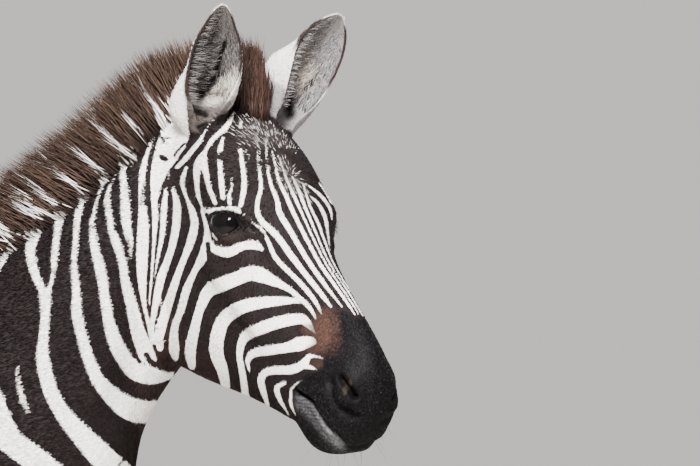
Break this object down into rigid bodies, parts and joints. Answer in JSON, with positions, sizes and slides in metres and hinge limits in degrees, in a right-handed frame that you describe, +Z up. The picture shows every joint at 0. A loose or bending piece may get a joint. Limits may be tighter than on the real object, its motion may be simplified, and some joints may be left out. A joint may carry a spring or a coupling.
{
  "type": "plains zebra museum model",
  "caption": "Life-size plains zebra standing square with its head turned to its right: a still museum model with striped coat, upright mane and cupped ears.",
  "frame": {"origin": "floor level, under the middle of the whole model's bounding box", "axes": "+X towards the animal's front, +Y towards its left, +Z up; the head turns towards -Y"},
  "size_m": [1.6946, 0.5692, 1.6312],
  "materials": {
    "coat": "short hair lying flat, near-black brown stripes on off-white",
    "mane": "coarse standing hair, dark brown with white locks and warm brown tips",
    "ear": "thin grey skin with pale hair and a dark rim",
    "eye": "wet, very dark brown",
    "hoof": "dark horn with growth rings"
  },
  "bodies": {
    "root": {"head": "coat", "neck": "coat", "trunk": "coat", "mane": "mane", "tail_dock": "coat", "tail_tuft": "mane", "ear_right": "ear", "eye_right": "eye", "leg_front_right": "coat", "leg_hind_right": "coat", "hoof_front_right": "hoof", "hoof_hind_right": "hoof", "ear_left": "ear", "eye_left": "eye", "leg_front_left": "coat", "leg_hind_left": "coat", "hoof_front_left": "hoof", "hoof_hind_left": "hoof"}
  },
  "joints": []
}
